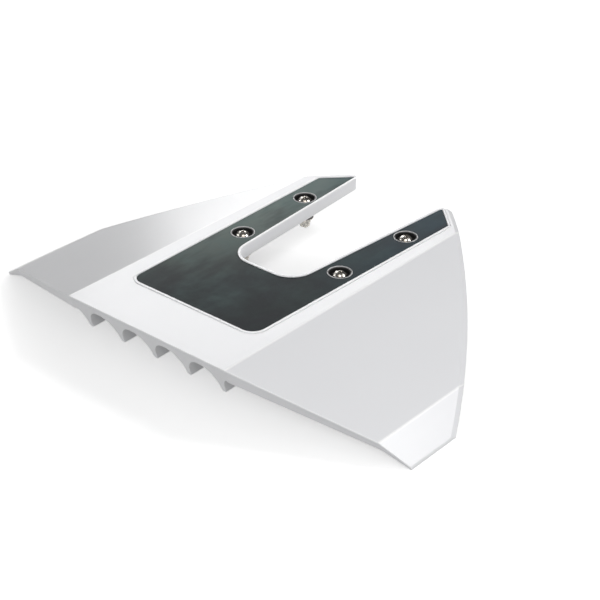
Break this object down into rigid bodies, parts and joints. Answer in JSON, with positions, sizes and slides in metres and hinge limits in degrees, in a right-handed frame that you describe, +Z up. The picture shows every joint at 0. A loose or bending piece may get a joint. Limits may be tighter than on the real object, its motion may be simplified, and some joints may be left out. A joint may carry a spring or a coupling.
{
  "type": "outboard hydrofoil",
  "caption": "Delta-shaped hydrofoil stabiliser for an outboard leg, with drooped wings, rear keels, a forward slot and an inlay panel, bolted to the anti-ventilation plate.",
  "frame": {"origin": "on the underside seat that rests on the anti-ventilation plate, in the middle of the four bolts", "axes": "+X starboard, +Y forward (the slot opens forward), +Z up"},
  "size_m": [0.48, 0.3458, 0.0573],
  "materials": {
    "moulding": "satin",
    "panel": "gloss",
    "adhesive": "matte",
    "stainless": "polished",
    "cup_nylon": "satin",
    "ring_nylon": "satin"
  },
  "bodies": {
    "root": {"foil_body": "moulding", "inlay_panel": "panel", "panel_adhesive": "adhesive", "rear_left_bolt": "stainless", "rear_left_cup": "cup_nylon", "rear_left_washer": "stainless", "rear_left_nut": "stainless", "rear_left_ring": "ring_nylon", "rear_right_bolt": "stainless", "rear_right_cup": "cup_nylon", "rear_right_washer": "stainless", "rear_right_nut": "stainless", "rear_right_ring": "ring_nylon", "front_left_bolt": "stainless", "front_left_cup": "cup_nylon", "front_left_washer": "stainless", "front_left_nut": "stainless", "front_left_ring": "ring_nylon", "front_right_bolt": "stainless", "front_right_cup": "cup_nylon", "front_right_washer": "stainless", "front_right_nut": "stainless", "front_right_ring": "ring_nylon"}
  },
  "joints": []
}
